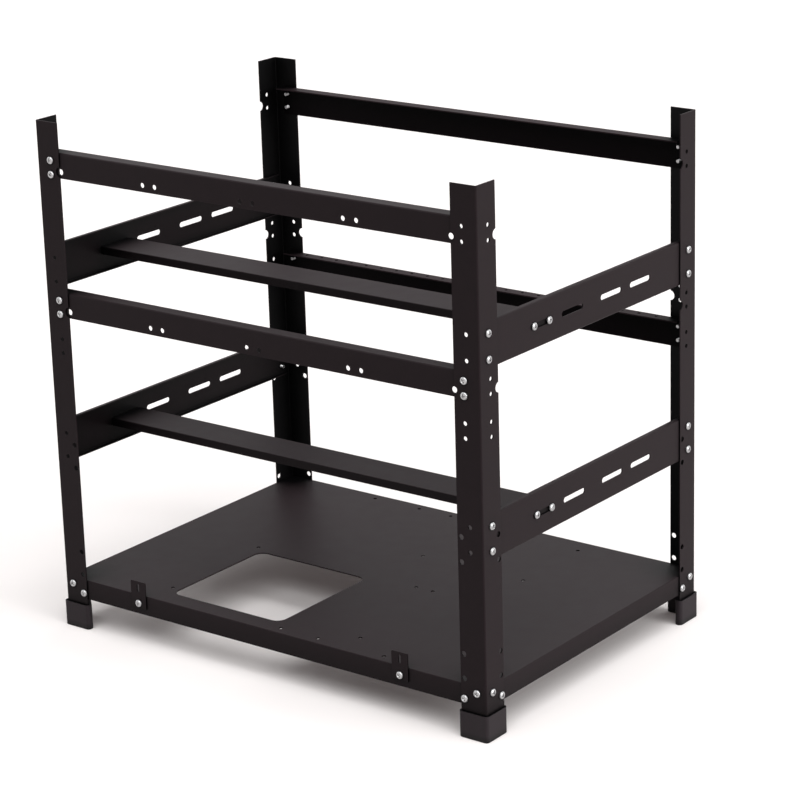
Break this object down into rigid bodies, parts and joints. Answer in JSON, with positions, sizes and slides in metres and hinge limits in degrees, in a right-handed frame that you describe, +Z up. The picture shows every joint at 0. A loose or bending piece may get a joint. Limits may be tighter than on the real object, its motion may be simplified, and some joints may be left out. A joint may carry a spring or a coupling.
{
  "type": "gpu mining rig frame",
  "caption": "Open bench frame of folded steel: angle posts on moulded feet, drilled rails, slotted side rails with card supports and a base tray for a desktop board.",
  "frame": {"origin": "on the floor under the middle of the frame", "axes": "+X along the frame's width to its right, +Y from the front to the back, +Z up"},
  "size_m": [0.525, 0.365, 0.52],
  "materials": {
    "frame_coat": "fine matt black powder coat",
    "foot_plastic": "matt black moulded plastic",
    "screw_steel": "bright zinc plated"
  },
  "bodies": {
    "root": {"post_front_left": "frame_coat", "foot_front_left": "foot_plastic", "post_front_right": "frame_coat", "foot_front_right": "foot_plastic", "post_back_left": "frame_coat", "foot_back_left": "foot_plastic", "post_back_right": "frame_coat", "foot_back_right": "foot_plastic", "front_rail_top": "frame_coat", "front_rail_middle": "frame_coat", "back_rail_top": "frame_coat", "back_rail_middle": "frame_coat", "side_rail_left_upper": "frame_coat", "side_rail_left_lower": "frame_coat", "side_rail_right_upper": "frame_coat", "side_rail_right_lower": "frame_coat", "card_support_upper": "frame_coat", "card_support_lower": "frame_coat", "base_tray": "frame_coat", "tray_bracket_left": "frame_coat", "tray_bracket_right": "frame_coat", "rail_screws": "screw_steel", "side_rail_screws": "screw_steel", "card_support_screws": "screw_steel", "tray_screws": "screw_steel", "bracket_screws": "screw_steel"}
  },
  "joints": []
}
